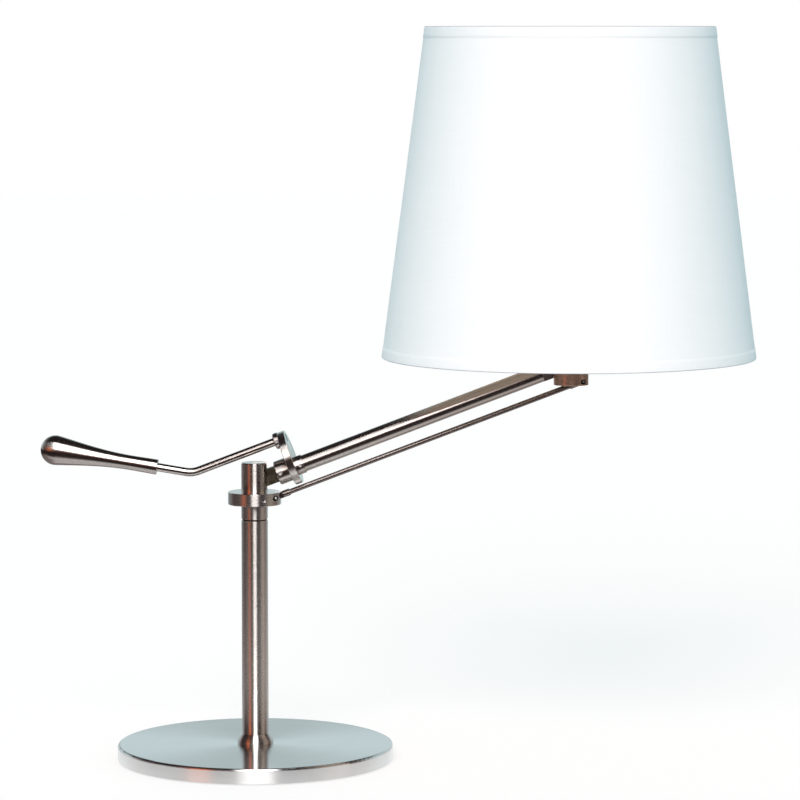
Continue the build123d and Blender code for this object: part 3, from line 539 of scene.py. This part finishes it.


# The base takes the lighter copy of the nickel, as painted light.
finish_nodes(turned("nickel_base", NICKEL_BASE_LIT, UP, COLUMN, roughness=0.25, end_roughness=0.16),
             "base_cover")
finish_nodes(turned("nickel_column", NICKEL, UP, COLUMN),
             "foot_collar", "column_tube", "pivot_head")
# The recesses round the link pins and the counterweight rod are painted black as painted shade.
finish_nodes(turned("nickel_collar", NICKEL, UP, COLUMN,
                    recess=(middle("link_pin_lower"), ACROSS, PIN_RECESS_R)),
             "link_collar")
# The arm takes the darker copy of the nickel, as painted shade.
finish_nodes(turned("nickel_arm", NICKEL_ARM_SHADED, ARM, ARM_PIVOT, roughness=0.22),
             "arm_hub", "arm_tube", "arm_ferrule", "arm_end_plug")
finish_nodes(turned("nickel_disc", NICKEL, ARM, middle("offset_disc"), roughness=0.24,
                    end_roughness=0.16, recess=(middle("rod_boss"), ARM, ROD_HOLE_R)),
             "offset_disc")
# The clevis takes the warm tint, a painted reflection of the lining above it.
finish_nodes(turned("nickel_clevis", NICKEL_CLEVIS_PAINTED_REFLECTION, UP, middle("shade_clevis"),
                    recess=(middle("link_pin_upper"), ACROSS, PIN_RECESS_R)),
             "shade_clevis")
# The link takes the darker copy of the nickel, as painted shade.
finish_nodes(turned("nickel_link", NICKEL_LINK_SHADED, ARM, middle("link_rod")),
             "link_rod", "link_eye_lower", "link_eye_upper")
# The counterweight rod and handle take the darker copy of the nickel, as painted shade.
finish_nodes(turned("nickel_rod", NICKEL_ARM_SHADED, ARM, bend_point(), roughness=0.21,
                    end_roughness=0.03, bent=HANDLE),
             "counterweight_rod", "rod_boss")
finish_nodes(turned("nickel_handle", NICKEL_ARM_SHADED, HANDLE, bend_point(), roughness=0.22),
             "counterweight_handle")
# Dark olive steel: painted shade on the tongue, which sits in shade between head and hub.
finish_nodes(machined("tongue_steel", (0.24, 0.22, 0.16), 0.24),
             "arm_tongue")
finish_nodes(machined("bright_steel", (0.66, 0.65, 0.64), 0.2),
             "arm_pivot_pin", "shade_pivot_pin", "link_spacers")
finish_nodes(machined("pin_steel", (0.78, 0.78, 0.78), 0.42),
             "link_pin_lower", "link_pin_upper", "collar_grub_screw", "hub_set_screw",
             "ferrule_set_screw", "boss_set_screw")
finish_nodes(machined("zinc_steel", (0.58, 0.59, 0.60), 0.36),
             "foot_nut", "foot_washer", "foot_nipple", "foot_plug", "swivel_nut",
             "socket_nipple", "nipple_locknut")
finish_nodes(machined("brass", (0.78, 0.60, 0.32), 0.3),
             "socket_screw_shell", "socket_contact", "bulb_cap")
# Bronze darkened well past its own colour to paint the shade in the swivel's seam.
finish_nodes(machined("bush_bronze", (0.10, 0.075, 0.055), 0.45),
             "column_bush")
finish_nodes(moulded("cast_iron_black", (0.05, 0.05, 0.05), 0.6, grain=300, depth=0.2,
                     variation=0.3),
             "base_weight")
finish_nodes(moulded("felt_black", (0.035, 0.035, 0.037), 0.9, grain=1400, depth=0.3,
                     variation=0.35),
             "base_felt")
finish_nodes(moulded("rubber_black", (0.028, 0.028, 0.028), 0.7, grain=900, depth=0.05),
             "cord_grommet")
finish_nodes(moulded("nylon_black", (0.022, 0.022, 0.023), 0.42),
             "thrust_washer_top", "thrust_washer_bottom", "arm_pivot_washers",
             "shade_pivot_washers")
finish_nodes(moulded("thermoset_white", (0.84, 0.83, 0.80), 0.30),
             "socket_cup", "socket_body", "shade_clamp_ring", "switch_knob")
finish_nodes(moulded("enamel_white", (0.86, 0.86, 0.84), 0.35),
             "shade_spider", "shade_wire_bottom", "shade_wire_top")
finish_nodes(moulded("opal_glass", (0.90, 0.90, 0.88), 0.12, depth=0.005, variation=0.02),
             "bulb_globe")


# ------------------------------------------------------------------ shade

# The two edge tapes lie on one cone, which the cover follows.
BOTTOM_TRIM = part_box("shade_trim_bottom")
TOP_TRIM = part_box("shade_trim_top")
SHADE_CENTRE = (BOTTOM_TRIM[0] + BOTTOM_TRIM[1]) / 2
SHADE_X, SHADE_Y = SHADE_CENTRE.x, SHADE_CENTRE.y
SHADE_LOW, SHADE_HIGH = BOTTOM_TRIM[0].z, TOP_TRIM[1].z
SHADE_LOW_R, SHADE_HIGH_R = ((high.x - low.x) / 2 for low, high in (BOTTOM_TRIM, TOP_TRIM))
SHADE_SLOPE = (SHADE_LOW_R - SHADE_HIGH_R) / (TOP_TRIM[0].z - SHADE_LOW)
SKIN_T = 1.2 * MM
SKIN_END = 0.8 * MM             # from the skin's edge to the shade's
SKIN_GAP = 0.04 * MM            # between the skin and the tapes
SKIN_STEPS = 40
SKIN_LAP = 0.3 * MM
TAPE = BOTTOM_TRIM[1].z - SHADE_LOW
TAPE_T = 0.36 * MM
TAPE_LAP = 0.2 * MM
TAPE_LAP_HALF = 4.5 * MM
TAPE_LAP_AWAY = 0.13            # radians from the tape's lap to the seam
ROLL_AT = 4.7 * MM              # how far in the tape goes round the wire
ROLL_R = 2.05 * MM
ROLL_INNER_R = 1.7 * MM
EDGE_R = 1.1 * MM
SEAM_AT = math.radians(90)
SEAM_HALF = 6.5 * MM
SEAM_EDGE = 0.7 * MM
SEAM_STEPS = 40
SEAM_STEPS_REACH = 1.6          # in half widths of the seam
ROUND_STEPS = 288


def shade_radius(height):
    return SHADE_LOW_R - SHADE_SLOPE * (height - SHADE_LOW)


def smooth_step(value):
    value = min(1.0, max(0.0, value))
    return value * value * (3 - 2 * value)


def turns():
    """Angles round the shade, closer together at the seam behind."""
    near = SEAM_HALF * SEAM_STEPS_REACH / shade_radius(SHADE_LOW)
    seam = [SEAM_AT + near * (2 * i / SEAM_STEPS - 1) for i in range(SEAM_STEPS + 1)]
    rest = [SEAM_AT + near + (2 * math.pi - 2 * near) * i / ROUND_STEPS
            for i in range(1, ROUND_STEPS)]
    return seam + rest


def lapped(turn, radius, half):
    """How far a lapped joint stands up, from 0 to 1, at a place round the shade."""
    away = (turn - SEAM_AT + math.pi) % (2 * math.pi) - math.pi
    return smooth_step((half - abs(away) * radius) / SEAM_EDGE)


def swept(name, outline, stand_out):
    """A closed outline of (radius, height) taken round the shade's axis, as one closed mesh."""
    made = bmesh.new()
    rings = []
    for turn in turns():
        ring = []
        for index, (radius, height) in enumerate(outline):
            out = radius + stand_out(turn, index, height)
            ring.append(made.verts.new((SHADE_X + out * math.cos(turn),
                                        SHADE_Y + out * math.sin(turn), height)))
        rings.append(ring)
    for one, following in zip(rings, rings[1:] + rings[:1]):
        for a in range(len(outline)):
            b = (a + 1) % len(outline)
            made.faces.new((one[a], following[a], following[b], one[b]))
    bmesh.ops.recalc_face_normals(made, faces=made.faces)
    mesh = bpy.data.meshes.new(name)
    made.to_mesh(mesh)
    made.free()
    mesh.shade_smooth()
    mesh.set_sharp_from_angle(angle=math.radians(50))
    piece = bpy.data.objects.new(name, mesh)
    bpy.context.scene.collection.objects.link(piece)
    return piece


def shade_skin():
    """Linen laminated on a stiff sheet, rolled into a cone and lapped behind."""
    low, high = SHADE_LOW + SKIN_END, SHADE_HIGH - SKIN_END
    heights = [low + (high - low) * i / SKIN_STEPS for i in range(SKIN_STEPS + 1)]
    face = [(shade_radius(z) - TAPE_T - SKIN_GAP, z) for z in heights]
    back = [(shade_radius(z) - TAPE_T - SKIN_GAP - SKIN_T, z) for z in reversed(heights)]

    def stand_out(turn, index, height):
        """Slight waves, most in the middle, and the lap, on the outside only."""
        sway = (0.12 * MM * math.sin(3 * turn + 11 * height)
                + 0.08 * MM * math.sin(7 * turn - 23 * height + 1.0))
        most = math.sin(math.pi * (height - SHADE_LOW) / (SHADE_HIGH - SHADE_LOW))
        outside = index < len(face)
        lap = SKIN_LAP * lapped(turn, shade_radius(height), SEAM_HALF) if outside else 0.0
        return sway * most + lap
    return swept("shade_cover", face + back, stand_out)


def arc(x, y, radius, start, end, steps):
    """Points along an arc, in degrees."""
    angles = [math.radians(start + (end - start) * i / steps) for i in range(steps + 1)]
    return [(x + radius * math.cos(angle), y + radius * math.sin(angle)) for angle in angles]


def tape_outline():
    """A tape's section, in from the outside and away from the shade's edge: the free edge, the
    flank, round the edge and the wire, up the inside, and back under itself."""
    free = TAPE - 0.25 * MM
    behind = TAPE_T + SKIN_T
    return [
        (TAPE_T, free - 0.05 * MM), (0.12 * MM, free), (0.0, free - 0.22 * MM),
        (0.0, TAPE * 0.66), (0.0, TAPE * 0.33),
        *arc(EDGE_R, EDGE_R, EDGE_R, 180, 270, 5),
        *arc(ROLL_AT, ROLL_R, ROLL_R, 270, 450, 8),
        (ROLL_AT - 1.6 * MM, 5.3 * MM), (behind + 0.5 * MM, 7.2 * MM),
        (behind + 0.40 * MM, 9.0 * MM), (behind + 0.06 * MM, 9.0 * MM),
        (behind + 0.1 * MM, 7.0 * MM), (ROLL_AT - 1.7 * MM, 4.9 * MM),
        *arc(ROLL_AT, ROLL_R, ROLL_INNER_R, 450, 270, 8),
        (EDGE_R, TAPE_T), (TAPE_T, EDGE_R),
    ]


FLANK = range(1, 4)             # points of the tape's section that its free edge pulls
OUTER = range(0, 11)            # points of the section on its outside


def edge_tape(name, edge, up, seed):
    """A linen tape rolled over the shade's edge and its wire, with a turned free edge."""
    def stand_out(turn, index, height):
        if index not in OUTER:
            return 0.0
        lap = TAPE_LAP * lapped(turn + TAPE_LAP_AWAY, shade_radius(height), TAPE_LAP_HALF)
        pull = (0.05 * MM * math.sin(31 * turn + seed)
                + 0.04 * MM * math.sin(57 * turn + 2.1 * seed))
        return lap + (pull if index in FLANK else 0.0)

    points = [(shade_radius(edge + up * away) - inwards, edge + up * away)
              for inwards, away in tape_outline()]
    return swept(name, points, stand_out)


def developed(tree):
    """Where a point lies on the shade's flat cloth, in metres across and up, seam behind."""
    half_angle = math.atan(SHADE_SLOPE)
    x, y, z = split(tree, vector(tree, "SUBTRACT", own_place(tree),
                                 (SHADE_X, SHADE_Y, SHADE_LOW)))
    turn = maths(tree, "ARCTAN2", x, maths(tree, "MULTIPLY", y, -1.0))
    swing = maths(tree, "MULTIPLY", turn, math.sin(half_angle))
    from_tip = maths(tree, "MULTIPLY_ADD", z, -1.0 / math.cos(half_angle),
                     shade_radius(SHADE_LOW) / math.sin(half_angle))
    across = maths(tree, "MULTIPLY", maths(tree, "SINE", swing), from_tip)
    up = maths(tree, "MULTIPLY", maths(tree, "COSINE", swing), from_tip)
    return across, up


LINEN = (0.93, 0.93, 0.93)
# A cream lining, made warmer and brighter to paint the light that passes through the shade.
LINING_WITH_PAINTED_LIGHT = (0.96, 0.80, 0.68)
# Grey along the shade's edges: painted shade.
EDGE_PAINTED_SHADE = (0.20, 0.19, 0.24)
EDGE_SHADE_REACH = (0.2 * MM, 1.0 * MM)
THREAD = 2 * math.pi / (0.62 * MM)
# Waves to a metre, across the cloth and up it.
WARP = (1500.0, 34.0)
WEFT = (30.0, 1500.0)
SLUBS_UP = (520.0, 14.0)
SLUBS_ACROSS = (12.0, 520.0)


def linen(name, bias=0.0, edge=None):
    """White linen: fine threads both ways, with slubs, on a developed cone. The cloth may be cut
    on the bias. Its edge, at a height, is painted grey as painted shade."""
    tree, shader, made = material(name, Roughness=0.85, Specular_IOR_Level=0.25,
                                  Sheen_Weight=0.08, Sheen_Roughness=0.5)
    across, up = developed(tree)
    flat = add(tree, "CombineXYZ", {0: across, 1: up}).outputs[0]
    if bias:
        flat = add(tree, "VectorRotate", {"Vector": flat, "Angle": bias},
                   rotation_type="Z_AXIS").outputs[0]
    wander = vector(tree, "SUBTRACT", noise(tree, flat, scale=60.0, output="Color"),
                    (0.5, 0.5, 0.5))
    flat = vector(tree, "ADD", flat, vector(tree, "SCALE", wander, 0.0012))

    def drawn_out(waves):
        return noise(tree, vector(tree, "MULTIPLY", flat, (*waves, 1.0)))

    warp, weft, slub_up, slub_across = map(drawn_out, (WARP, WEFT, SLUBS_UP, SLUBS_ACROSS))
    first, second = (maths(tree, "SINE", maths(tree, "MULTIPLY", part, THREAD))
                     for part in split(tree, flat)[:2])
    over = maths(tree, "MULTIPLY", first, second)
    weave = maths(tree, "MULTIPLY_ADD", over, 0.35, maths(tree, "ADD", warp, weft))
    slubs = maths(tree, "MULTIPLY", maths(tree, "ADD", slub_up, slub_across), 0.5)

    slubbed = spread(tree, slubs, 0.0, 1.0, 0.42, 0.60)
    tint = mixed(tree, slubbed, darker(LINEN, 0.035), LINEN)
    woven = spread(tree, maths(tree, "MULTIPLY", weave, 0.5), 0.0, 0.6, 0.35, 0.62)
    tint = mixed(tree, woven, darker(LINEN, 0.05), tint)
    # Painted shade: a grey band along the shade's edge.
    if edge is not None:
        height = split(tree, own_place(tree))[2]
        away = maths(tree, "ABSOLUTE", maths(tree, "SUBTRACT", height, edge))
        tint = mixed(tree, spread(tree, away, 0.6, 0.0, *EDGE_SHADE_REACH), tint, EDGE_PAINTED_SHADE)
    threads = bump(tree, weave, 0.05 * MM, 0.55)
    feed(tree, shader, Base_Color=tint, Normal=bump(tree, slubs, 0.12 * MM, 0.5, under=threads))
    return made


cover = shade_skin()
cover.data.materials.append(linen("linen_cover"))
# The lining's colour carries painted light from through the shade.
cover.data.materials.append(moulded("lining_film", LINING_WITH_PAINTED_LIGHT, 0.38, grain=700.0, depth=0.02,
                                    variation=0.04))
for face in cover.data.polygons:
    outwards = (face.normal.x * (face.center.x - SHADE_X)
                + face.normal.y * (face.center.y - SHADE_Y))
    face.material_index = 1 if outwards < 0 else 0
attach(cover, "lamp_head")
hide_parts("shade_skin")
# Each tape's cloth is painted grey along the shade's edge, as painted shade.
for name, node, edge, up, seed in (("tape_bottom", "shade_trim_bottom", SHADE_LOW, 1, 0.4),
                                   ("tape_top", "shade_trim_top", SHADE_HIGH, -1, 2.2)):
    tape = edge_tape(name, edge, up, seed)
    tape.data.materials.append(linen("linen_" + name, bias=0.6, edge=edge))
    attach(tape, "lamp_head")
    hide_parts(node)
